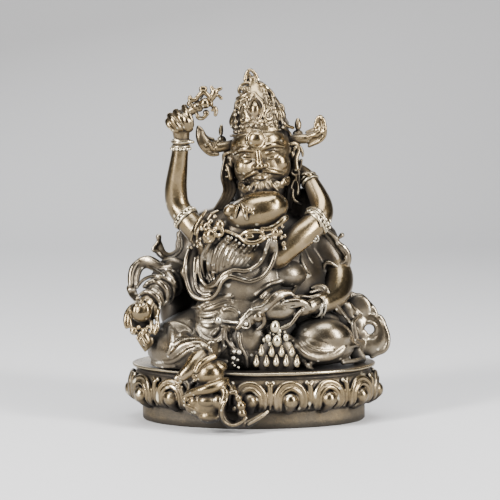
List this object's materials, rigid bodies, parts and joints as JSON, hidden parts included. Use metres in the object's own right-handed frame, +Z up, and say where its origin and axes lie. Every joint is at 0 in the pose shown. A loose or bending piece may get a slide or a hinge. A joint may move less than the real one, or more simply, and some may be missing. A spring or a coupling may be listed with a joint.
{
  "type": "crowned wealth deity statue with consort",
  "caption": "Small cast brass statue of a crowned, seated wealth deity holding a consort, on an oval lotus pedestal with a plain foot.",
  "frame": {"origin": "centre of the flat underside of the oval pedestal foot", "axes": "+Z up along the figure's height, -Y to the front that the deity faces, +X to the viewer's right"},
  "size_m": [0.0446, 0.0306, 0.0578],
  "materials": {
    "antique_brass": "antique: dark patina in the recesses, rubbed bright on raised forms"
  },
  "bodies": {
    "root": {"wealth_deity_statue": "antique_brass"}
  },
  "joints": []
}
